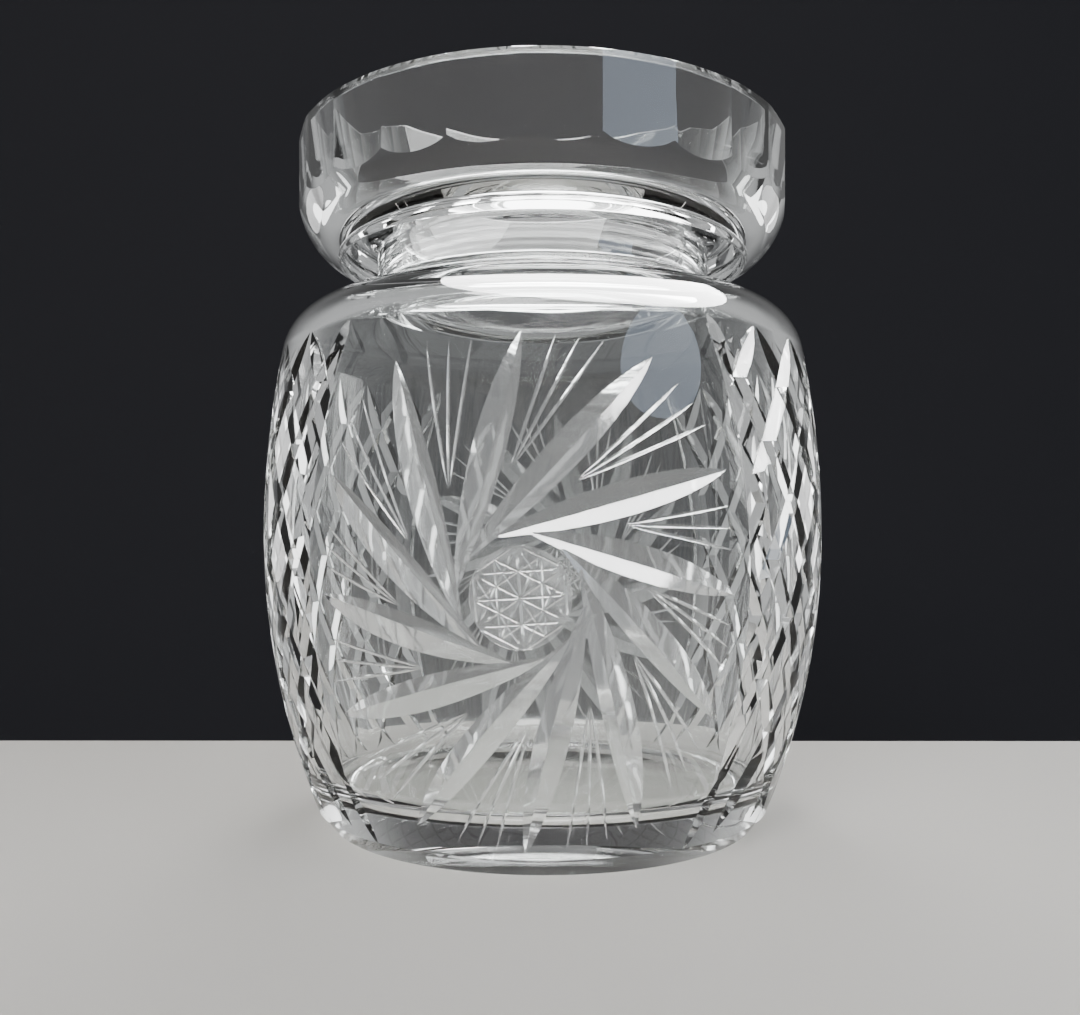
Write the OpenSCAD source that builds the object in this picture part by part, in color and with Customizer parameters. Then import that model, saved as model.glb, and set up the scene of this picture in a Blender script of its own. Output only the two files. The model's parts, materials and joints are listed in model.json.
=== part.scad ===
// Cut crystal vase: a barrel body on a thick clear base, a plain shoulder, a grooved neck and a
// bulging collar with flat panels. The front and the back carry a twelve-bladed pinwheel, and the
// two sides a lattice of diamonds. The vase is one piece of glass; each node below is one zone of it,
// and neighbouring zones meet face to face. The front faces -Y, and the origin is under the base.

/* [Overall] */
// Height of the vase
height = 200; // [196:1:206]
// Wall thickness of the barrel
wall = 7; // [6:0.5:8]
// Thickness of the base under the cavity floor
floor_z = 13; // [11:0.5:16]

/* [Barrel] */
// Largest radius of the barrel
belly_r = 82.2; // [81:0.2:84]
// Height of the largest radius
belly_z = 85; // [82:1:88]
// Radius of the arc that draws the side below the belly
lower_arc_r = 210; // [205:5:230]
// Radius of the arc that draws the side above the belly
upper_arc_r = 276; // [260:4:300]
// Radius of the flat underside
foot_r = 62; // [60:0.5:63]
// Height of the bevel around the underside
foot_h = 5; // [4:0.5:6]
// Radius of the corner between the cavity floor and the wall
cavity_corner_r = 10; // [8:1:12]

/* [Shoulder and neck] */
// Height at which the barrel turns into the shoulder
shoulder_z = 137; // [134:1:138]
// Radius of the shoulder's bend
shoulder_arc_r = 17; // [16:0.5:18]
// Rise of the shoulder's top towards the neck, in degrees
shoulder_slope = 20; // [18:1:21]
// Outer radius of the neck
neck_r = 50; // [49:0.5:51]
// Thickness of the neck
neck_wall = 7; // [6:0.5:8]

/* [Collar] */
// Radius of the round groove under the collar
groove_r = 5.1; // [4.8:0.1:5.2]
// Height of the groove's centre
groove_z = 167.5; // [167:0.1:168]
// Largest radius of the collar
bulge_r = 73.4; // [73:0.2:74]
// Height of the collar's largest radius
bulge_z = 183.5; // [183:0.5:184]
// Radius of the collar's bulge in profile
bulge_arc_r = 21.5; // [21:0.25:22]
// Thickness of the collar at the rim
rim_wall = 6.2; // [5.8:0.1:6.4]
// Radius at which the collar's inner side turns in towards its floor
bowl_side_r = 62.9; // [62.3:0.1:63.5]
// Height of that turn
bowl_side_z = 187.1; // [186.5:0.1:187.7]
// Radius of the floor inside the collar
bowl_floor_r = 58.4; // [57.6:0.2:59]
// Height of that floor's outer edge
bowl_floor_z = 176.4; // [176:0.2:178]
// Number of flat panels around the collar
panel_count = 24; // [20:2:28]
// Distance from the axis to each panel at the rim
panel_r = 72.6; // [72.4:0.1:72.8]
// Lean of the panels towards the axis on the way down, in degrees
panel_lean = 0.5; // [0:0.1:0.8]

/* [Pinwheel cuts] */
// Number of blades in each pinwheel
blade_count = 12; // [10:1:14]
// Height of the pinwheel's hub
hub_z = 68.3; // [67:0.1:70]
// Radius of the hub
hub_r = 12; // [11:0.5:13]
// Depth of the hub's recess
hub_depth = 0.4; // [0.3:0.1:0.6]
// Radius of the circle that the blades are tangent to
swirl_r = 15; // [14:0.5:16]
// Half-width of the pinwheel's outline
wheel_half_w = 54.5; // [52:0.5:55]
// Half-height of the pinwheel's outline
wheel_half_h = 62; // [60:0.5:62]
// Squareness of the outline, where 2 is an ellipse
wheel_power = 2.8; // [2:0.1:3]
// Greatest depth of a blade
blade_depth = 2.4; // [2:0.1:2.6]
// Half of a blade's greatest width
blade_half_w = 3.9; // [3.4:0.1:4.2]

/* [Diamond cuts] */
// Width of each side column, in degrees around the axis
column_span = 83; // [82:1:86]
// Width of one diamond, in degrees around the axis
diamond_span = 14.2; // [14:0.1:14.4]
// Height of one diamond
diamond_h = 30; // [29:0.5:30]
// Height of the lattice's lower tips
lattice_z = 10; // [10:0.5:12]
// Number of diamonds that stand above each other
diamond_rows = 4; // [3:1:4]
// Number of diamonds side by side
diamonds_across = 5; // [3:2:5]
// Depth of the lattice cuts
lattice_depth = 1.1; // [0.9:0.1:1.2]
// Half-width of the lattice cuts
lattice_half_w = 2; // [1.6:0.1:2.2]
// Depth of the long mitre beside each column
mitre_depth = 2.4; // [2:0.1:2.6]
// Half-width of the long mitre
mitre_half_w = 3.4; // [3:0.1:3.6]
// Height of the long mitre's lower tip
mitre_low_z = 10; // [10:1:12]
// Height of the long mitre's upper tip
mitre_high_z = 134; // [128:1:134]

/* [Hidden] */

$fn = 180;
GLASS = [0.86, 0.90, 0.92];
FRONT = -90;
RIGHT = 0;
BACK = 90;
LEFT = 180;
// Facets on the large arcs of the profile and of the grooves, so that their chords stay short
ARC_FN = 720;
REACH = belly_r + 10;
// How far a cutter stands clear of the skin
CLEAR = 1.5;
// A keel that curves less than this, in 1/mm, is cut straight
LEAST_BEND = 0.0005;
// The panels stand on the base's rim at this height, and the base fills the floor inside this radius
SEAT_Z = 4;
PLUG_R = 58;
PANEL_SPAN = 180 - column_span;

SHOULDER_TILT = asin((shoulder_z - belly_z) / upper_arc_r);
SHOULDER_X = belly_r - upper_arc_r + (upper_arc_r - shoulder_arc_r) * cos(SHOULDER_TILT);
SHOULDER_Y = belly_z + (upper_arc_r - shoulder_arc_r) * sin(SHOULDER_TILT);
GROOVE_X = neck_r + groove_r;
RIM_INNER_R = bulge_r - rim_wall;
NECK_INNER_R = neck_r - neck_wall;
// How much the collar's floor falls towards the neck, and the rounding of its outer and inner edges
BOWL_FALL = 2;
BOWL_ROUND = 6.5;
NECK_ROUND = 8;
// The slab of glass that a flat panel takes away: its thickness, width and reach below the rim
SLAB = [12, 36, 45];

function arc_at(z) = z < belly_z ? lower_arc_r : upper_arc_r;
function skin_r(z) = belly_r - arc_at(z) + sqrt(pow(arc_at(z), 2) - pow(z - belly_z, 2));
function skin_lean(z) = asin((z - belly_z) / arc_at(z));
// Where the shoulder, set in by an inset, meets a cylinder of the given radius
function slope_x(inset) = SHOULDER_X + (shoulder_arc_r - inset) * sin(shoulder_slope);
function slope_y(inset) = SHOULDER_Y + (shoulder_arc_r - inset) * cos(shoulder_slope);
function slope_top(inset, r) = slope_y(inset) + (slope_x(inset) - r) * tan(shoulder_slope);
NECK_Z = slope_top(0, neck_r);

// ---- profile ----

// Outline of the barrel, from the base to the shoulder, set in from the skin
module barrel_outline(inset) {
    intersection() {
        translate([belly_r - lower_arc_r, belly_z])
            circle(lower_arc_r - inset, $fn = ARC_FN);
        square([REACH, belly_z]);
    }
    intersection() {
        translate([belly_r - upper_arc_r, belly_z])
            circle(upper_arc_r - inset, $fn = ARC_FN);
        translate([0, belly_z])
            square([REACH, shoulder_z - belly_z]);
    }
}

// Outline of the shoulder: a bend, then a straight rise to the neck
module shoulder_outline(inset, r) {
    intersection() {
        translate([SHOULDER_X, SHOULDER_Y])
            circle(shoulder_arc_r - inset);
        translate([SHOULDER_X, shoulder_z])
            square([REACH, slope_y(inset) - shoulder_z]);
    }
    polygon([[0, shoulder_z], [SHOULDER_X, shoulder_z], [slope_x(inset), slope_y(inset)],
             [r, slope_top(inset, r)], [0, slope_top(inset, r)]]);
}

module foot_bevel() {
    polygon([[foot_r, 0], [REACH, 0], [REACH, foot_h], [skin_r(foot_h), foot_h]]);
}

module outer_outline() {
    difference() {
        barrel_outline(0);
        foot_bevel();
    }
    shoulder_outline(0, neck_r);
    square([neck_r, bulge_z]);
    difference() {
        intersection() {
            translate([bulge_r - bulge_arc_r, bulge_z])
                circle(bulge_arc_r);
            translate([0, shoulder_z])
                square([REACH, bulge_z - shoulder_z]);
        }
        groove_outline();
    }
    translate([0, bulge_z])
        square([bulge_r, height - bulge_z]);
}

// The groove between the neck and the collar's drip edge, open downwards
module groove_outline() {
    translate([GROOVE_X, groove_z])
        circle(groove_r);
    translate([neck_r, shoulder_z])
        square([2 * groove_r, groove_z - shoulder_z]);
}

module cavity_outline() {
    corner_z = floor_z + cavity_corner_r;
    corner_x = skin_r(corner_z) - wall - cavity_corner_r;
    intersection() {
        barrel_outline(wall);
        translate([0, corner_z])
            square([REACH, shoulder_z - corner_z]);
    }
    translate([corner_x, corner_z])
        circle(cavity_corner_r);
    translate([0, floor_z])
        square([corner_x, cavity_corner_r]);
    shoulder_outline(wall, NECK_INNER_R);
    translate([0, shoulder_z])
        square([NECK_INNER_R, groove_z - shoulder_z]);
    bowl_outline();
}

// The space inside the collar, which narrows to a sloping floor and then to the neck
module bowl_outline() {
    foot = [NECK_INNER_R, bowl_floor_z - BOWL_FALL];
    top = height + 2 * BOWL_ROUND;
    intersection() {
        offset(r = -NECK_ROUND)
            offset(delta = NECK_ROUND) {
                translate([-NECK_INNER_R, NECK_Z])
                    square([2 * NECK_INNER_R, foot[1] - NECK_Z]);
                offset(r = BOWL_ROUND)
                    offset(delta = -BOWL_ROUND)
                        for (side = [0, 1])
                            mirror([side, 0])
                                polygon([[0, NECK_Z], [NECK_INNER_R, NECK_Z], foot,
                                         [bowl_floor_r, bowl_floor_z], [bowl_side_r, bowl_side_z],
                                         [RIM_INNER_R, height], [RIM_INNER_R, top], [0, top]]);
            }
        translate([0, NECK_Z])
            square([REACH, height - NECK_Z + 1]);
    }
}

module glass_profile() {
    difference() {
        outer_outline();
        cavity_outline();
    }
}

// ---- cutters ----

// Puts its child on the barrel's skin, with +X straight out of the glass and +Z up along the skin
module on_skin(azimuth, z) {
    rotate([0, 0, azimuth])
        translate([skin_r(z), 0, z])
            rotate([0, -skin_lean(z), 0])
                children();
}

// A V groove whose keel is nearest the middle of its length and runs out of the skin at both ends.
// tilt is the direction of the cut: 0 runs sideways and 90 runs upwards.
module leaf_cut(length, tilt, depth, half_w, arc) {
    bend = pow(cos(tilt), 2) / belly_r + pow(sin(tilt), 2) / arc;
    keel_bend = bend - 8 * depth / pow(length, 2);
    mouth = half_w * (depth + CLEAR) / depth;
    rotate([tilt - 90, 0, 0])
        if (keel_bend > LEAST_BEND)
            curved_groove(1 / keel_bend, length, depth, mouth);
        else
            translate([0, 0, -length / 2])
                linear_extrude(length)
                    polygon([[-bend * pow(length, 2) / 8, 0], [CLEAR, mouth], [CLEAR, -mouth]]);
}

// A V groove with its keel on an arc around a centre inside the vase
module curved_groove(keel_r, length, depth, mouth) {
    span = length / keel_r * 180 / PI;
    translate([-depth - keel_r, 0, 0])
        rotate([90, 0, 0])
            rotate([0, 0, -span / 2])
                rotate_extrude(angle = span, $fn = ARC_FN)
                    polygon([[keel_r, 0], [keel_r + depth + CLEAR, mouth],
                             [keel_r + depth + CLEAR, -mouth]]);
}

function wheel_r(a) =
    1 / pow(pow(abs(cos(a)) / wheel_half_w, wheel_power)
            + pow(abs(sin(a)) / wheel_half_h, wheel_power), 1 / wheel_power);
function polar(r, a) = [r * cos(a), r * sin(a)];

// One blade, a straight leaf from its tip on the outline to the circle that it is tangent to
module blade_cut(azimuth, a) {
    tip = polar(wheel_r(a), a);
    root = polar(swirl_r, a + acos(swirl_r / wheel_r(a)));
    middle = (tip + root) / 2;
    run = tip - root;
    z = hub_z + middle[1];
    on_skin(azimuth + middle[0] / belly_r * 180 / PI, z)
        leaf_cut(norm(run), atan2(run[1], run[0]), blade_depth, blade_half_w, arc_at(z));
}

module pinwheel_cuts(azimuth) {
    for (i = [0 : blade_count - 1])
        blade_cut(azimuth, 90 + i * 360 / blade_count);
    on_skin(azimuth, hub_z)
        rotate([0, 90, 0])
            translate([0, 0, -hub_depth])
                cylinder(r = hub_r, h = hub_depth + CLEAR);
}

// The long upright mitre on the line between a panel and a column
module mitre_cut(azimuth) {
    z = (mitre_low_z + mitre_high_z) / 2;
    on_skin(azimuth, z)
        leaf_cut(mitre_high_z - mitre_low_z, 90, mitre_depth, mitre_half_w, lower_arc_r);
}

// The lattice, as one crossed pair of leaves in the middle of each diamond-sized cell
module lattice_cuts(azimuth) {
    side = [diamond_span * PI / 180 * belly_r, diamond_h];
    tilt = atan2(side[1], side[0]);
    last = (diamonds_across - 1) / 2;
    for (row = [0 : diamond_rows - 1], step = [-last : last], lean = [tilt, 180 - tilt]) {
        z = lattice_z + (row + 0.5) * diamond_h;
        on_skin(azimuth + step * diamond_span, z)
            leaf_cut(norm(side), lean, lattice_depth, lattice_half_w, arc_at(z));
    }
}

// ---- zones ----

// A full ring of the vase: the part of its profile that lies in the region drawn by the child
module turned_zone() {
    rotate_extrude()
        intersection() {
            glass_profile();
            children();
        }
}

// The middle of the base, which reaches up to the cavity floor
module plug_outline() {
    square([PLUG_R, floor_z + cavity_corner_r]);
}

// A stretch of the barrel's wall, centred on an azimuth and standing on the base
module wall_zone(azimuth, span) {
    difference() {
        rotate([0, 0, azimuth - span / 2])
            rotate_extrude(angle = span)
                difference() {
                    intersection() {
                        glass_profile();
                        translate([0, SEAT_Z])
                            square([REACH, shoulder_z - SEAT_Z]);
                    }
                    plug_outline();
                }
        mitre_cut(azimuth - span / 2);
        mitre_cut(azimuth + span / 2);
    }
}

module base() {
    color(GLASS)
        turned_zone() {
            square([REACH, SEAT_Z]);
            plug_outline();
        }
}

module pinwheel_panel(azimuth) {
    color(GLASS)
        difference() {
            wall_zone(azimuth, PANEL_SPAN);
            pinwheel_cuts(azimuth);
        }
}

module diamond_column(azimuth) {
    color(GLASS)
        difference() {
            wall_zone(azimuth, column_span);
            lattice_cuts(azimuth);
        }
}

module front_pinwheel_panel() {
    pinwheel_panel(FRONT);
}

module right_diamond_column() {
    diamond_column(RIGHT);
}

module back_pinwheel_panel() {
    pinwheel_panel(BACK);
}

module left_diamond_column() {
    diamond_column(LEFT);
}

module shoulder() {
    color(GLASS)
        turned_zone()
            translate([0, shoulder_z])
                square([REACH, NECK_Z - shoulder_z]);
}

module neck() {
    color(GLASS)
        turned_zone()
            translate([0, NECK_Z])
                square([GROOVE_X, groove_z - NECK_Z]);
}

// One flat panel of the collar, as the slab of glass that it takes away
module collar_flat(azimuth) {
    rotate([0, 0, azimuth])
        translate([panel_r, 0, height])
            rotate([0, panel_lean, 0])
                translate([0, -SLAB[1] / 2, -SLAB[2]])
                    cube([SLAB[0], SLAB[1], SLAB[2] + 1]);
}

module collar() {
    color(GLASS)
        difference() {
            turned_zone() {
                translate([0, groove_z])
                    square([REACH, height - groove_z]);
                translate([GROOVE_X, NECK_Z])
                    square([REACH, bulge_z - NECK_Z]);
            }
            for (i = [0 : panel_count - 1])
                collar_flat(i * 360 / panel_count + 180 / panel_count);
        }
}

base();
front_pinwheel_panel();
right_diamond_column();
back_pinwheel_panel();
left_diamond_column();
shoulder();
neck();
collar();
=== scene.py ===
"""Looks of the cut crystal vase: one continuous piece of lead crystal with real wheel-cut grooves.

The glass is turned as a closed surface of revolution, and every cut is a real V groove taken out of
it. Lengths in the design values are millimetres and angles are degrees; mesh points are metres.
"""
import json
import math

import bmesh
import bpy
import numpy as np
from mathutils import Euler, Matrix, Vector

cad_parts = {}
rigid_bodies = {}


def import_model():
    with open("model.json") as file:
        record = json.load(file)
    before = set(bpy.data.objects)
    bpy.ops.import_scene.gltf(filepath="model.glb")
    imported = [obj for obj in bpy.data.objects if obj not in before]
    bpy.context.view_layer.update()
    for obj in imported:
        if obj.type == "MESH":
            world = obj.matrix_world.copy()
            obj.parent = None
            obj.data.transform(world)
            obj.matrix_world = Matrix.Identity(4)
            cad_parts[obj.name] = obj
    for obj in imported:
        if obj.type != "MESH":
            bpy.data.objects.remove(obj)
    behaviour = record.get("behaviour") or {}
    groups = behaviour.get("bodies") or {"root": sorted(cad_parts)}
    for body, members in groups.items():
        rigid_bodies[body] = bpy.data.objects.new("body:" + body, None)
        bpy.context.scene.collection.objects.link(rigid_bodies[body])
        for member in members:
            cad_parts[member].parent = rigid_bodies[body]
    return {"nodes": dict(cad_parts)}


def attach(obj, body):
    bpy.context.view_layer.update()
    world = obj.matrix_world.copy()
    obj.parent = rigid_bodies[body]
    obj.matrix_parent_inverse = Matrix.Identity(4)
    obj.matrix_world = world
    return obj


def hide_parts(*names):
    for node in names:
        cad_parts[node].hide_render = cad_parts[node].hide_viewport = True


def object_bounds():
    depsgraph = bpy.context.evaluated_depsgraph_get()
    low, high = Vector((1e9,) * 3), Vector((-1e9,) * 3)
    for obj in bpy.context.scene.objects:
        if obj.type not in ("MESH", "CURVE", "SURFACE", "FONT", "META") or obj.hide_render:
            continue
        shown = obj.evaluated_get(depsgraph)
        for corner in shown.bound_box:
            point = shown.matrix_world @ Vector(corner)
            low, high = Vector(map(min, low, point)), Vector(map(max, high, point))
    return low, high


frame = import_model()
cad_low, cad_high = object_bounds()

MM = 0.001
HEIGHT = (cad_high.z - cad_low.z) / MM
BELLY_R = (cad_high.x - cad_low.x) / 2 / MM

# ---- design values, as in the CAD part ----
WALL = 7
FLOOR_Z = 13
BELLY_Z = 85
LOWER_ARC_R = 210
UPPER_ARC_R = 276
FOOT_R = 62
FOOT_H = 5
RECESS_R = 55
RECESS_DEPTH = 0.9
CAVITY_CORNER_R = 10
SHOULDER_Z = 137
SHOULDER_ARC_R = 17
SHOULDER_SLOPE = 20
NECK_R = 50
NECK_WALL = 7
GROOVE_R = 5.1
GROOVE_Z = 167.5
BULGE_R = 73.4
BULGE_Z = 183.5
BULGE_ARC_R = 21.5
RIM_WALL = 6.2
# Turns of the profile inside the collar, as distance from the axis and height, and their roundings
BOWL_SIDE, BOWL_SIDE_R = (62.9, 187.1), 15.7
BOWL_FLOOR, BOWL_FLOOR_R = (58.4, 176.4), 6.5
BOWL_FOOT_Z, BOWL_FOOT_R = 174.4, 8
PANEL_COUNT = 24
PANEL_R = 72.6
PANEL_LEAN = 0.5
HUB_Z = 68.3
HUB_R = 12
SWIRL_R = 15
WHEEL_HALF_W = 54.5
WHEEL_HALF_H = 62
WHEEL_POWER = 2.8
BLADE_COUNT = 12

# Azimuths of the two pinwheels and the two columns; the front faces -Y
FRONT, BACK = -90, 90
RIGHT, LEFT = 0, 180
SEGMENTS = 240
# Cuts within this many degrees of a column's middle have the bright finish
COLUMN_HALF = 54
SKIN, SATIN_CUT, BRIGHT_CUT = 0, 1, 2
# How far the camera stands to the right of the vase's front
VIEW_AZIMUTH = 3.6
# Elevation of the darkest part of the room, which lies behind the vase
DARK_ELEVATION = 11


# ---- profile ----
def polar(radius, angle):
    return np.array([radius * math.cos(math.radians(angle)), radius * math.sin(math.radians(angle))])


def arc(centre, radius, start, end, steps):
    """Points of an arc with their outward normals. Run clockwise, it is hollow, and they point inwards."""
    side = 1 if end > start else -1
    angles = np.linspace(start, end, steps + 1)
    return [(np.array(centre) + polar(radius, a), side * polar(1, a)) for a in angles]


def fillet(before, corner, after, radius, steps=5):
    """A round corner between two straight lines."""
    before, corner, after = (np.array(p, float) for p in (before, corner, after))
    into = (corner - before) / np.linalg.norm(corner - before)
    out = (after - corner) / np.linalg.norm(after - corner)
    turn = math.atan2(into[0] * out[1] - into[1] * out[0], into @ out)
    side = 1 if turn > 0 else -1
    start = corner - into * radius * math.tan(abs(turn) / 2)
    normal = np.array([into[1], -into[0]])
    centre = start - side * radius * normal
    first = heading(side * normal)
    return arc(centre, radius, first, first + math.degrees(turn), steps)


def heading(step):
    return math.degrees(math.atan2(step[1], step[0]))


def corner_point(r, z):
    return [(np.array([r, z], float), None)]


def arc_x(radius, z):
    """Distance from the axis of an arc that is concentric with the barrel's side."""
    centre_r = LOWER_ARC_R if z < BELLY_Z else UPPER_ARC_R
    return BELLY_R - centre_r + math.sqrt(radius ** 2 - (z - BELLY_Z) ** 2)


SHOULDER_TILT = math.degrees(math.asin((SHOULDER_Z - BELLY_Z) / UPPER_ARC_R))
SHOULDER_C = np.array([BELLY_R - UPPER_ARC_R, BELLY_Z]) + polar(UPPER_ARC_R - SHOULDER_ARC_R, SHOULDER_TILT)
SHOULDER_END = 90 - SHOULDER_SLOPE


def slope_point(inset, r):
    """Where the shoulder's straight rise, set in by an inset, comes to a distance from the axis."""
    x, z = SHOULDER_C + polar(SHOULDER_ARC_R - inset, SHOULDER_END)
    return np.array([r, z + (x - r) * math.tan(math.radians(SHOULDER_SLOPE))])


def glass_outline():
    """The closed profile from the middle of the underside, up the outside and down the inside."""
    foot_edge_r, drip_edge_r, rim_edge_r, neck_foot_r, neck_inner_foot_r = 0.7, 0.8, 1.3, 2.2, 4
    recess_arc = (RECESS_R ** 2 + RECESS_DEPTH ** 2) / (2 * RECESS_DEPTH)
    recess_span = math.degrees(math.asin(RECESS_R / recess_arc))
    foot_edge = (arc_x(LOWER_ARC_R, FOOT_H), FOOT_H)
    low = math.degrees(math.asin((BELLY_Z - FOOT_H) / LOWER_ARC_R))
    lower_c, upper_c = (BELLY_R - LOWER_ARC_R, BELLY_Z), (BELLY_R - UPPER_ARC_R, BELLY_Z)
    neck_foot = slope_point(0, NECK_R)
    shoulder_top = SHOULDER_C + polar(SHOULDER_ARC_R, SHOULDER_END)
    lip_x = NECK_R + 2 * GROOVE_R
    bulge_c = np.array([BULGE_R - BULGE_ARC_R, BULGE_Z])
    tip_angle = -math.degrees(math.acos((lip_x - bulge_c[0]) / BULGE_ARC_R))
    tip = bulge_c + polar(BULGE_ARC_R, tip_angle)
    past_tip = tip + polar(1, tip_angle + 90)
    # The drip edge's rounding takes the place of this much of the bulge's arc, in degrees
    past_edge = 3.4
    rim_in = BULGE_R - RIM_WALL
    neck_in = NECK_R - NECK_WALL
    bowl_foot = (neck_in, BOWL_FOOT_Z)
    inner_foot = slope_point(WALL, neck_in)
    inner_top = SHOULDER_C + polar(SHOULDER_ARC_R - WALL, SHOULDER_END)
    corner_z = FLOOR_Z + CAVITY_CORNER_R
    corner_x = arc_x(LOWER_ARC_R - WALL - CAVITY_CORNER_R, corner_z)
    corner_a = -math.degrees(math.asin((BELLY_Z - corner_z) / (LOWER_ARC_R - WALL - CAVITY_CORNER_R)))
    return [
        arc((0, RECESS_DEPTH - recess_arc), recess_arc, 90, 90 - recess_span, 10),
        fillet((RECESS_R, 0), (FOOT_R, 0), foot_edge, foot_edge_r),
        arc(lower_c, LOWER_ARC_R, -low, 0, 30),
        arc(upper_c, UPPER_ARC_R, 0, SHOULDER_TILT, 20),
        arc(SHOULDER_C, SHOULDER_ARC_R, SHOULDER_TILT, SHOULDER_END, 14),
        fillet(shoulder_top, neck_foot, (NECK_R, GROOVE_Z), neck_foot_r),
        arc((NECK_R + GROOVE_R, GROOVE_Z), GROOVE_R, 180, 0, 18),
        fillet((lip_x, GROOVE_Z), tip, past_tip, drip_edge_r),
        arc(bulge_c, BULGE_ARC_R, tip_angle + past_edge, 0, 18),
        fillet((BULGE_R, BULGE_Z), (BULGE_R, HEIGHT), (rim_in, HEIGHT), rim_edge_r),
        fillet((BULGE_R, HEIGHT), (rim_in, HEIGHT), BOWL_SIDE, rim_edge_r),
        fillet((rim_in, HEIGHT), BOWL_SIDE, BOWL_FLOOR, BOWL_SIDE_R, 20),
        fillet(BOWL_SIDE, BOWL_FLOOR, bowl_foot, BOWL_FLOOR_R, 14),
        fillet(BOWL_FLOOR, bowl_foot, inner_foot, BOWL_FOOT_R, 12),
        fillet(bowl_foot, inner_foot, inner_top, neck_inner_foot_r),
        arc(SHOULDER_C, SHOULDER_ARC_R - WALL, SHOULDER_END, SHOULDER_TILT, 12),
        arc(upper_c, UPPER_ARC_R - WALL, SHOULDER_TILT, 0, 14),
        arc(lower_c, LOWER_ARC_R - WALL, 0, corner_a, 20),
        arc((corner_x, corner_z), CAVITY_CORNER_R, corner_a, -90, 12),
        corner_point(0, FLOOR_Z),
    ]


def outline_segments(outline):
    """Straight pieces of the profile as rows of start, end, start normal and end normal."""
    rows = []
    last = None
    for stretch in outline:
        if last is not None:
            gap = stretch[0][0] - last
            if np.linalg.norm(gap) > 1e-6:
                square = np.array([gap[1], -gap[0]]) / np.linalg.norm(gap)
                rows.append((last, stretch[0][0], square, square))
        for (p, n), (q, m) in zip(stretch, stretch[1:]):
            rows.append((p, q, n, m))
        last = stretch[-1][0]
    return np.array(rows)


SEGMENT_ROWS = outline_segments(glass_outline())


def turned_glass():
    """The uncut glass: the profile turned about the axis, closed at both poles."""
    points = [SEGMENT_ROWS[0, 0]] + [row[1] for row in SEGMENT_ROWS]
    mesh = bmesh.new()
    angles = np.linspace(0, 2 * math.pi, SEGMENTS, endpoint=False)
    rings = []
    for r, z in points:
        if r < 1e-9:
            rings.append([mesh.verts.new((0, 0, z * MM))] * SEGMENTS)
        else:
            rings.append([mesh.verts.new((r * math.cos(a) * MM, r * math.sin(a) * MM, z * MM))
                          for a in angles])
    for low, high in zip(rings, rings[1:]):
        for i in range(SEGMENTS):
            j = (i + 1) % SEGMENTS
            corners = [low[i], low[j], high[j], high[i]]
            mesh.faces.new(list(dict.fromkeys(corners)))
    return mesh


# ---- cutters ----
def skin(azimuth, z):
    """A point of the barrel's outer skin in millimetres, and the normal there."""
    if z > SHOULDER_Z:
        tilt = math.asin(min(1, (z - SHOULDER_C[1]) / SHOULDER_ARC_R))
        r = SHOULDER_C[0] + SHOULDER_ARC_R * math.cos(tilt)
    else:
        radius = LOWER_ARC_R if z < BELLY_Z else UPPER_ARC_R
        tilt = math.asin((z - BELLY_Z) / radius)
        r = arc_x(radius, z)
    a = math.radians(azimuth)
    out = np.array([math.cos(a), math.sin(a), 0])
    return r * out + [0, 0, z], math.cos(tilt) * out + [0, 0, math.sin(tilt)]


def groove(path, depths, left, right, clear=0.7):
    """A V groove along a path of (azimuth, z) on the skin, as the closed solid that the wheel removes.

    left and right are the half-widths of the groove for each millimetre of its depth. A depth below
    zero leaves the skin whole, so a groove that starts and ends there has pointed tips.
    """
    spots = [skin(a, z) for a, z in path]
    points = np.array([p for p, _ in spots])
    normals = np.array([n for _, n in spots])
    along = np.gradient(points, axis=0)
    along /= np.linalg.norm(along, axis=1)[:, None]
    across = np.cross(normals, along)
    mesh = bmesh.new()
    rings = []
    for p, n, side, depth in zip(points, normals, across, depths):
        reach = depth + clear
        section = (p - depth * n, p + clear * n + left * reach * side, p + clear * n - right * reach * side)
        rings.append([mesh.verts.new(Vector(c) * MM) for c in section])
    for one, two in zip(rings, rings[1:]):
        for i in range(3):
            j = (i + 1) % 3
            mesh.faces.new((one[i], one[j], two[j], two[i]))
    mesh.faces.new(rings[0])
    mesh.faces.new(rings[-1][::-1])
    bmesh.ops.recalc_face_normals(mesh, faces=mesh.faces)
    return mesh


def leaf_depths(depth, count, lead=1.0, fullness=1.0, skim=0.06):
    """Depths of a leaf from tip to root: nothing at both ends and most in between."""
    s = np.linspace(0, 1, count) ** lead
    return (depth + skim) * (4 * s * (1 - s)) ** fullness - skim


def run_depths(depth, count, ramp, skim=0.06):
    """Depths of a long groove: even along its length, with a ramp at each end."""
    s = np.linspace(0, 1, count)
    edge = np.clip(np.minimum(s, 1 - s) / ramp, 0, 1)
    return (depth + skim) * np.sin(edge * math.pi / 2) ** 0.8 - skim


def on_panel(azimuth, u, v):
    """Azimuth and height of a place on a pinwheel panel, from its distance right of and above the hub."""
    return azimuth + math.degrees(u / BELLY_R), HUB_Z + v


def panel_path(azimuth, start, end, count, bow=0.0):
    """A nearly straight path across a panel, which bows sideways by bow at its middle."""
    start, end = np.array(start), np.array(end)
    run = end - start
    side = np.array([-run[1], run[0]]) / np.linalg.norm(run)
    s = np.linspace(0, 1, count)
    spots = start + s[:, None] * run + (bow * 4 * s * (1 - s))[:, None] * side
    return [on_panel(azimuth, u, v) for u, v in spots]


def wheel_r(angle):
    """Distance from the hub to the pinwheel's outline."""
    c, s = abs(math.cos(math.radians(angle))), abs(math.sin(math.radians(angle)))
    return ((c / WHEEL_HALF_W) ** WHEEL_POWER + (s / WHEEL_HALF_H) ** WHEEL_POWER) ** (-1 / WHEEL_POWER)


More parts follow.
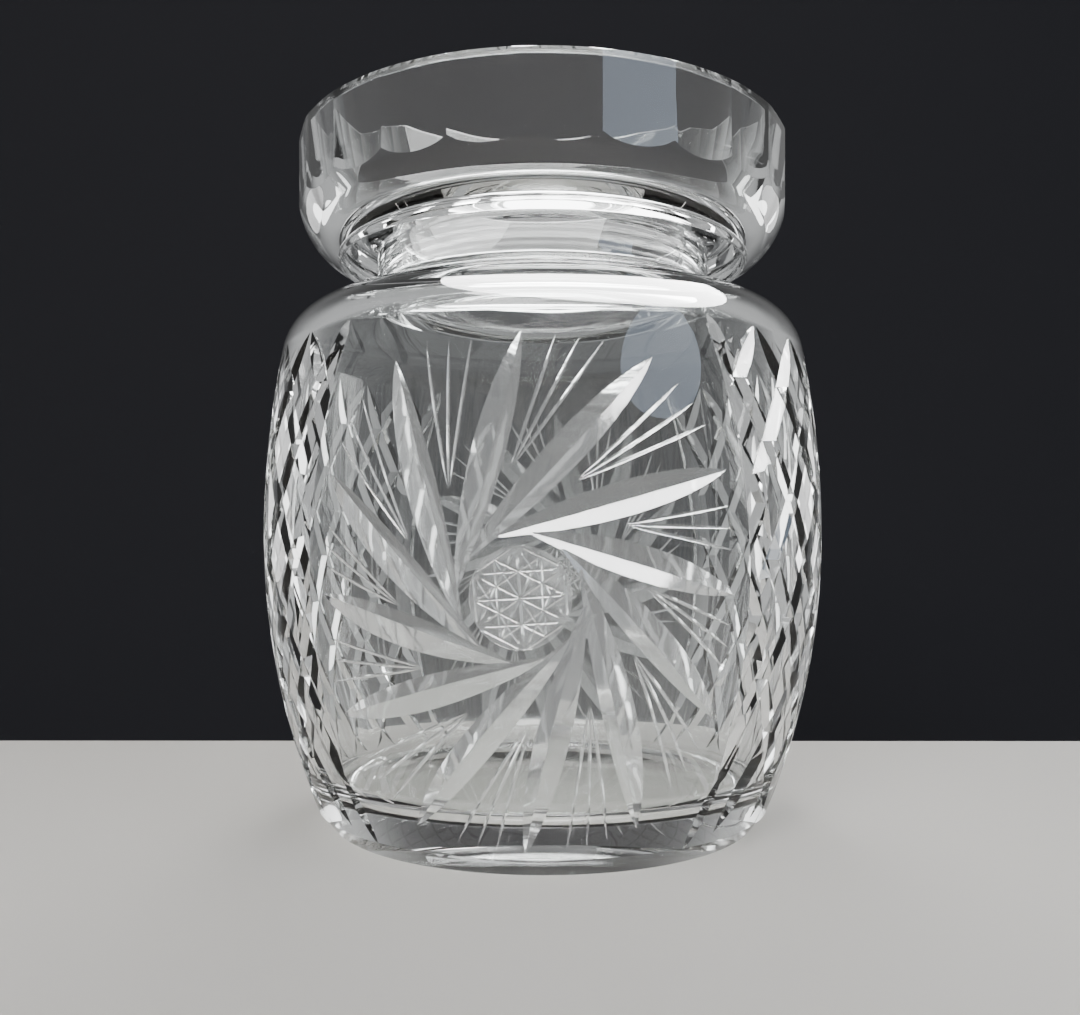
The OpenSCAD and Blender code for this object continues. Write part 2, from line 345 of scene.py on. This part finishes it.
def pinwheel_blades(azimuth):
    """Twelve broad leaves, each tangent to a circle round the hub."""
    depth, half_w, keel_share, overrun = 2.0, 4.2, 0.55, 4.0
    for i in range(BLADE_COUNT):
        angle = 90 + i * 360 / BLADE_COUNT
        tip = polar(wheel_r(angle), angle)
        root = polar(SWIRL_R, angle + math.degrees(math.acos(SWIRL_R / wheel_r(angle))))
        run = root - tip
        root = root + run / np.linalg.norm(run) * overrun
        left = 2 * half_w * (1 - keel_share) / depth
        right = 2 * half_w * keel_share / depth
        yield groove(panel_path(azimuth, tip, root, 21), leaf_depths(depth, 21, 0.87, 1.0), left, right)


def pinwheel_fans(azimuth):
    """Three fine lines behind each blade, which spread from one spot beside it."""
    depth, half_w = 0.3, 0.42
    for i in range(BLADE_COUNT):
        angle = 90 + i * 360 / BLADE_COUNT
        spring = polar(29, angle + 5)
        for lag in (8, 13.5, 19):
            tip = polar(wheel_r(angle - lag), angle - lag)
            path = panel_path(azimuth, tip, spring, 11)
            yield groove(path, run_depths(depth, 11, 0.3), half_w / depth, half_w / depth, 0.5)


def hub_disc(azimuth):
    """The shallow round recess of the hub, which follows the skin."""
    recess, clear, rings, spokes = 0.35, 0.6, 5, 48
    mesh = bmesh.new()
    layers = []
    for lift in (-recess, clear):
        p, n = skin(*on_panel(azimuth, 0, 0))
        middle = mesh.verts.new(Vector(p + lift * n) * MM)
        layer = [[middle] * spokes]
        for ring in range(1, rings + 1):
            row = []
            for k in range(spokes):
                u, v = polar(HUB_R * ring / rings, 360 * k / spokes)
                p, n = skin(*on_panel(azimuth, u, v))
                row.append(mesh.verts.new(Vector(p + lift * n) * MM))
            layer.append(row)
        layers.append(layer)
    for layer in layers:
        for inner, outer in zip(layer, layer[1:]):
            for k in range(spokes):
                j = (k + 1) % spokes
                mesh.faces.new(list(dict.fromkeys((inner[k], outer[k], outer[j], inner[j]))))
    for k in range(spokes):
        j = (k + 1) % spokes
        mesh.faces.new((layers[0][-1][k], layers[0][-1][j], layers[1][-1][j], layers[1][-1][k]))
    bmesh.ops.recalc_face_normals(mesh, faces=mesh.faces)
    yield mesh


def hub_lines(azimuth):
    """Fine lines across the hub in six directions, which cross in twelve-rayed stars."""
    star_gap, tilt, depth, half_w = 6.1, 4, 0.68, 0.75
    for direction in range(0, 180, 30):
        gap = star_gap if direction % 60 == 0 else star_gap * math.cos(math.radians(30))
        for step in range(-2, 3):
            offset = step * gap
            if abs(offset) > HUB_R - 1:
                continue
            half = math.sqrt(HUB_R ** 2 - offset ** 2)
            along, side = polar(1, direction + tilt), polar(1, direction + tilt + 90)
            start, end = side * offset - along * half, side * offset + along * half
            path = panel_path(azimuth, start, end, 9)
            yield groove(path, run_depths(depth, 9, 0.12), half_w / depth, half_w / depth, 0.4)


def edge_azimuth(z):
    """How far from a pinwheel's middle the long mitre beside it runs, in degrees; it bows outwards."""
    return 43.4 - 8.2 * ((z - 64) / 70) ** 2


def long_mitre(azimuth, side):
    """The bowed upright cut between a pinwheel and a column, with its wide facet on the column's side."""
    depth, narrow, wide, count = 2.1, 1.1, 3.3, 41
    heights = np.linspace(137, 20, count)
    path = [(azimuth + side * edge_azimuth(z), z) for z in heights]
    left, right = (wide, narrow) if side > 0 else (narrow, wide)
    yield groove(path, leaf_depths(depth, count, 1.0, 0.45), left, right)


def foot_leaf(azimuth, side):
    """The slim leaf that crosses the foot of each long mitre."""
    depth, half_w, count = 1.3, 1.7, 13
    start, end = (41.5, 25), (35, 3.5)
    path = [(azimuth + side * (start[0] + (end[0] - start[0]) * s), start[1] + (end[1] - start[1]) * s)
            for s in np.linspace(0, 1, count)]
    yield groove(path, leaf_depths(depth, count), half_w / depth, half_w / depth)


def lattice(azimuth):
    """Long V cuts in two directions, which leave diamonds standing between them."""
    pitch, row_h, top_row, top_z, low_z = 14.2, 15.0, 121.5, 136.0, 7.0
    depth, half_w, spacing = 1.9, 2.9, 4.0
    for direction in (1, -1):
        for k in range(-12, 13, 2):
            start = k * pitch / 2 + pitch / 2
            heights = np.arange(top_z, low_z, -0.5)
            turn = direction * (start + (top_row - heights) / row_h * pitch / 2)
            inside = np.abs(turn) < 90 - np.array([edge_azimuth(z) for z in heights]) + 1.0
            if inside.sum() * 0.5 < 12:
                continue
            z_high, z_low = heights[inside].max(), heights[inside].min()
            count = max(7, int((z_high - z_low) / spacing) + 1)
            z = np.linspace(z_high, z_low, count)
            turn = direction * (start + (top_row - z) / row_h * pitch / 2)
            ramp = min(0.45, 12 / (z_high - z_low))
            path = list(zip(azimuth + turn, z))
            yield groove(path, run_depths(depth, count, ramp), half_w / depth, half_w / depth)


def collar_flats():
    """Flat panels round the collar, which run out in soft arches on its bulge."""
    thick, low, spare, half_w = 12, 45, 1, 18
    for i in range(PANEL_COUNT):
        mesh = bmesh.new()
        turn = Euler((0, math.radians(PANEL_LEAN), 0)).to_matrix()
        spin = Euler((0, 0, math.radians((i + 0.5) * 360 / PANEL_COUNT))).to_matrix()
        sides = []
        for y in (-half_w, half_w):
            row = []
            for x, z in ((0, spare), (thick, spare), (thick, -low), (0, -low)):
                leaned = turn @ Vector((x, y, z))
                row.append(mesh.verts.new((spin @ (leaned + Vector((PANEL_R, 0, HEIGHT)))) * MM))
            sides.append(row)
        mesh.faces.new(sides[0])
        mesh.faces.new(sides[1][::-1])
        for j in range(4):
            k = (j + 1) % 4
            mesh.faces.new((sides[0][j], sides[0][k], sides[1][k], sides[1][j]))
        bmesh.ops.recalc_face_normals(mesh, faces=mesh.faces)
        yield mesh


def all_cutters():
    for azimuth in (FRONT, BACK):
        yield from hub_disc(azimuth)
        yield from hub_lines(azimuth)
        yield from pinwheel_blades(azimuth)
        yield from pinwheel_fans(azimuth)
        for side in (1, -1):
            yield from long_mitre(azimuth, side)
            yield from foot_leaf(azimuth, side)
    for azimuth in (RIGHT, LEFT):
        yield from lattice(azimuth)
    yield from collar_flats()


# ---- glass body ----
def make_object(name, mesh_builder):
    data = bpy.data.meshes.new(name)
    mesh_builder.to_mesh(data)
    mesh_builder.free()
    obj = bpy.data.objects.new(name, data)
    bpy.context.scene.collection.objects.link(obj)
    return obj


def cut_glass():
    body = make_object("crystal_vase", turned_glass())
    store = bpy.data.collections.new("cutters")
    bpy.context.scene.collection.children.link(store)
    for i, mesh in enumerate(all_cutters()):
        data = bpy.data.meshes.new(f"cut_{i}")
        mesh.to_mesh(data)
        mesh.free()
        store.objects.link(bpy.data.objects.new(data.name, data))
    cut = body.modifiers.new("cuts", "BOOLEAN")
    cut.operation = "DIFFERENCE"
    cut.solver = "MANIFOLD"
    cut.operand_type = "COLLECTION"
    cut.collection = store
    graph = bpy.context.evaluated_depsgraph_get()
    result = bpy.data.meshes.new_from_object(body.evaluated_get(graph))
    body.modifiers.clear()
    body.data = result
    for obj in list(store.objects):
        data = obj.data
        bpy.data.objects.remove(obj)
        bpy.data.meshes.remove(data)
    bpy.data.collections.remove(store)
    return body


def profile_normals(spots, centres):
    """Normals of the turned surface at the spots, each from the profile piece nearest its face's centre.

    Also gives how far each face's centre lies from the turned surface, in metres.
    """
    start, end = SEGMENT_ROWS[:, 0] * MM, SEGMENT_ROWS[:, 1] * MM
    run = end - start
    length2 = (run ** 2).sum(1)
    face_rz = np.stack([np.hypot(centres[:, 0], centres[:, 1]), centres[:, 2]], 1)
    spot_rz = np.stack([np.hypot(spots[:, 0], spots[:, 1]), spots[:, 2]], 1)
    best = np.zeros(len(spots), int)
    far = np.full(len(spots), np.inf)
    for i in range(len(run)):
        t = np.clip(((face_rz - start[i]) @ run[i]) / length2[i], 0, 1)
        gap = np.linalg.norm(face_rz - start[i] - t[:, None] * run[i], axis=1)
        nearer = gap < far
        best[nearer], far[nearer] = i, gap[nearer]
    t = np.clip(((spot_rz - start[best]) * run[best]).sum(1) / length2[best], 0, 1)[:, None]
    flat = SEGMENT_ROWS[best, 2] * (1 - t) + SEGMENT_ROWS[best, 3] * t
    flat /= np.linalg.norm(flat, axis=1)[:, None]
    radial = spots[:, :2] / np.maximum(spot_rz[:, :1], 1e-9)
    return np.concatenate([radial * flat[:, :1], flat[:, 1:]], 1), far


def shade(body):
    """True normals on the turned skin, and smooth facets with crisp edges in the cuts."""
    data = body.data
    loops, faces, points = len(data.loops), len(data.polygons), len(data.vertices)
    co = np.empty(points * 3)
    data.vertices.foreach_get("co", co)
    co = co.reshape(-1, 3)
    corner = np.empty(loops, int)
    data.loops.foreach_get("vertex_index", corner)
    centre = np.empty(faces * 3)
    data.polygons.foreach_get("center", centre)
    face_normal = np.empty(faces * 3)
    data.polygons.foreach_get("normal", face_normal)
    total = np.empty(faces, int)
    data.polygons.foreach_get("loop_total", total)
    owner = np.repeat(np.arange(faces), total)
    centre, face_normal = centre.reshape(-1, 3), face_normal.reshape(-1, 3)
    true_face, far = profile_normals(centre, centre)
    on_skin = (far < 0.02 * MM) & ((true_face * face_normal).sum(1) > math.cos(math.radians(4)))
    data.polygons.foreach_set("use_smooth", [True] * faces)
    azimuth = np.degrees(np.arctan2(np.abs(centre[:, 1]), np.abs(centre[:, 0])))
    polished = on_skin | (centre[:, 2] > (SHOULDER_Z + 5) * MM)
    cut_kind = np.where(azimuth < COLUMN_HALF, BRIGHT_CUT, SATIN_CUT)
    data.polygons.foreach_set("material_index", np.where(polished, SKIN, cut_kind))
    crease = math.cos(math.radians(16))
    builder = bmesh.new()
    builder.from_mesh(data)
    builder.faces.ensure_lookup_table()
    for edge in builder.edges:
        if len(edge.link_faces) != 2:
            edge.smooth = False
            continue
        one, two = edge.link_faces
        mixed = on_skin[one.index] != on_skin[two.index]
        edge.smooth = not mixed and one.normal.dot(two.normal) > crease
    builder.to_mesh(data)
    builder.free()
    normals = np.empty(loops * 3, np.float32)
    data.corner_normals.foreach_get("vector", normals)
    normals = normals.reshape(-1, 3)
    true_corner, _ = profile_normals(co[corner], centre[owner])
    chosen = on_skin[owner]
    normals[chosen] = true_corner[chosen]
    data.normals_split_custom_set(normals.tolist())
    print("glass:", points, "points,", faces, "faces,", int(total.sum() - 2 * faces), "triangles")


# ---- materials ----
def glass_material(name, roughness, wave, wave_scale, clarity=1.0, edge_r=0.0):
    material = bpy.data.materials.new(name)
    material.use_nodes = True
    nodes, links = material.node_tree.nodes, material.node_tree.links
    shader = nodes["Principled BSDF"]
    shader.inputs["Base Color"].default_value = (0.97, 0.985, 0.98, 1)
    shader.inputs["Transmission Weight"].default_value = clarity
    shader.inputs["IOR"].default_value = 1.545
    place = nodes.new("ShaderNodeTexCoord")
    noise = nodes.new("ShaderNodeTexNoise")
    noise.inputs["Scale"].default_value = wave_scale
    noise.inputs["Detail"].default_value = 2
    links.new(place.outputs["Object"], noise.inputs["Vector"])
    bump = nodes.new("ShaderNodeBump")
    bump.inputs["Strength"].default_value = wave
    bump.inputs["Distance"].default_value = 0.001
    links.new(noise.outputs["Fac"], bump.inputs["Height"])
    links.new(bump.outputs["Normal"], shader.inputs["Normal"])
    if edge_r > 0:
        rounded = nodes.new("ShaderNodeBevel")
        rounded.samples = 4
        rounded.inputs["Radius"].default_value = edge_r
        links.new(rounded.outputs["Normal"], bump.inputs["Normal"])
    spread = nodes.new("ShaderNodeMapRange")
    spread.inputs["To Min"].default_value = roughness * 0.5
    spread.inputs["To Max"].default_value = roughness * 1.5
    links.new(noise.outputs["Fac"], spread.inputs["Value"])
    links.new(spread.outputs["Result"], shader.inputs["Roughness"])
    return material


def plain_material(name, colour, roughness, shine=0.5):
    material = bpy.data.materials.new(name)
    material.use_nodes = True
    shader = material.node_tree.nodes["Principled BSDF"]
    shader.inputs["Base Color"].default_value = (*colour, 1)
    shader.inputs["Roughness"].default_value = roughness
    shader.inputs["Specular IOR Level"].default_value = shine
    return material


# ---- studio ----
def add_camera():
    """At the photograph's viewing angle: close, a little above the foot, and tilted up slightly."""
    distance, height = 0.320, 0.0805
    pitch, yaw = 2.0, 0.14
    data = bpy.data.cameras.new("camera")
    data.lens = 35.0
    data.sensor_width = 36.0
    data.clip_start = 0.005
    camera = bpy.data.objects.new("camera", data)
    a = math.radians(VIEW_AZIMUTH)
    camera.location = (distance * math.sin(a), -distance * math.cos(a), height)
    camera.rotation_euler = (math.radians(90 + pitch), 0, a + math.radians(yaw))
    bpy.context.scene.collection.objects.link(camera)
    bpy.context.scene.camera = camera


def add_floor():
    """A pale tabletop whose far edge is a little behind the vase, square to the camera."""
    behind, reach, front, thick, clear = 0.114, 1.6, 1.6, 0.03, 0.0002
    builder = bmesh.new()
    bmesh.ops.create_cube(builder, size=1)
    for v in builder.verts:
        v.co.x *= 2 * reach
        v.co.y = behind if v.co.y > 0 else -front
        v.co.z = -clear if v.co.z > 0 else -thick
    floor = make_object("floor", builder)
    floor.rotation_euler = (0, 0, math.radians(VIEW_AZIMUTH))
    floor.data.materials.append(plain_material("floor_pale", (0.40, 0.385, 0.36), 0.6, 0.1))


def add_light(name, azimuth, elevation, distance, size, energy, colour=(1, 1, 1),
              seen_through=True, on_matt=True, mirrored=True):
    """A softbox that faces the vase. Azimuth 0 is behind the vase as the camera sees it, 90 its right."""
    a, e = math.radians(azimuth - VIEW_AZIMUTH), math.radians(elevation)
    middle = Vector((0, 0, HEIGHT * MM / 2))
    away = Vector((math.sin(a) * math.cos(e), math.cos(a) * math.cos(e), math.sin(e)))
    data = bpy.data.lights.new(name, "AREA")
    data.shape = "ELLIPSE"
    data.size, data.size_y = size
    data.energy = energy
    data.color = colour
    light = bpy.data.objects.new(name, data)
    light.location = middle + distance * away
    light.rotation_euler = away.to_track_quat("Z", "Y").to_euler()
    light.visible_camera = False
    light.visible_transmission = seen_through
    light.visible_diffuse = on_matt
    light.visible_glossy = mirrored
    bpy.context.scene.collection.objects.link(light)


def add_backdrop():
    """A charcoal card that fills the camera's view behind the vase."""
    behind, half_w, low, high = 0.55, 0.56, -0.35, 0.62
    builder = bmesh.new()
    corners = [(-half_w, behind, low), (half_w, behind, low), (half_w, behind, high), (-half_w, behind, high)]
    builder.faces.new([builder.verts.new(c) for c in corners])
    card = make_object("backdrop", builder)
    card.rotation_euler = (0, 0, math.radians(VIEW_AZIMUTH))
    card.data.materials.append(plain_material("charcoal", (0.022, 0.022, 0.025), 1.0, 0.0))
    card.visible_transmission = False
    card.visible_glossy = False
    card.visible_shadow = False


def add_surround():
    """A soft grey room, darker behind the vase, which the glass gathers its tones from."""
    world = bpy.data.worlds.new("studio")
    world.use_nodes = True
    nodes, links = world.node_tree.nodes, world.node_tree.links
    place = nodes.new("ShaderNodeTexCoord")
    towards = nodes.new("ShaderNodeVectorMath")
    towards.operation = "DOT_PRODUCT"
    a, e = math.radians(VIEW_AZIMUTH), math.radians(DARK_ELEVATION)
    towards.inputs[1].default_value = (-math.sin(a) * math.cos(e), math.cos(a) * math.cos(e), math.sin(e))
    fade = nodes.new("ShaderNodeValToRGB")
    fade.color_ramp.interpolation = "EASE"
    stops = fade.color_ramp.elements
    stops[0].position, stops[0].color = math.cos(math.radians(42)), (0.50, 0.505, 0.51, 1)
    stops[1].position, stops[1].color = math.cos(math.radians(13)), (0.040, 0.040, 0.043, 1)
    links.new(place.outputs["Generated"], towards.inputs[0])
    links.new(towards.outputs["Value"], fade.inputs["Fac"])
    links.new(fade.outputs["Color"], nodes["Background"].inputs["Color"])
    bpy.context.scene.world = world


def add_studio():
    add_surround()
    add_light("back_left_softbox", -52, 3, 1.2, (0.6, 0.36), 1.5)
    add_light("back_right_softbox", 52, 3, 1.2, (0.6, 0.36), 1.8)
    add_light("room", 0, 62, 1.1, (0.4, 0.4), 5)
    add_light("front_softbox", -160, 30, 1.2, (0.5, 0.5), 10, seen_through=False, mirrored=False)
    add_light("overhead_softbox", 80, 80, 0.9, (1.0, 1.0), 26, on_matt=False)
    add_light("shoulder_glare", 130, 72, 0.9, (1.5, 1.5), 330, seen_through=False, on_matt=False)
    add_light("window", 131, 24, 1.7, (1.0, 0.5), 4.5, (0.66, 0.80, 1), seen_through=False)


add_camera()
add_floor()
add_backdrop()
add_studio()

vase = cut_glass()
# The boolean leaves an empty slot, which would take the skin's place
vase.data.materials.clear()
vase.data.materials.append(glass_material("crystal_skin", 0.01, 0.08, 35))
vase.data.materials.append(glass_material("crystal_satin_cut", 0.08, 0.08, 120, 0.86, 0.15 * MM))
vase.data.materials.append(glass_material("crystal_bright_cut", 0.04, 0.05, 120, 1.0, 0.15 * MM))
shade(vase)
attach(vase, "root")
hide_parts(*sorted(frame["nodes"]))
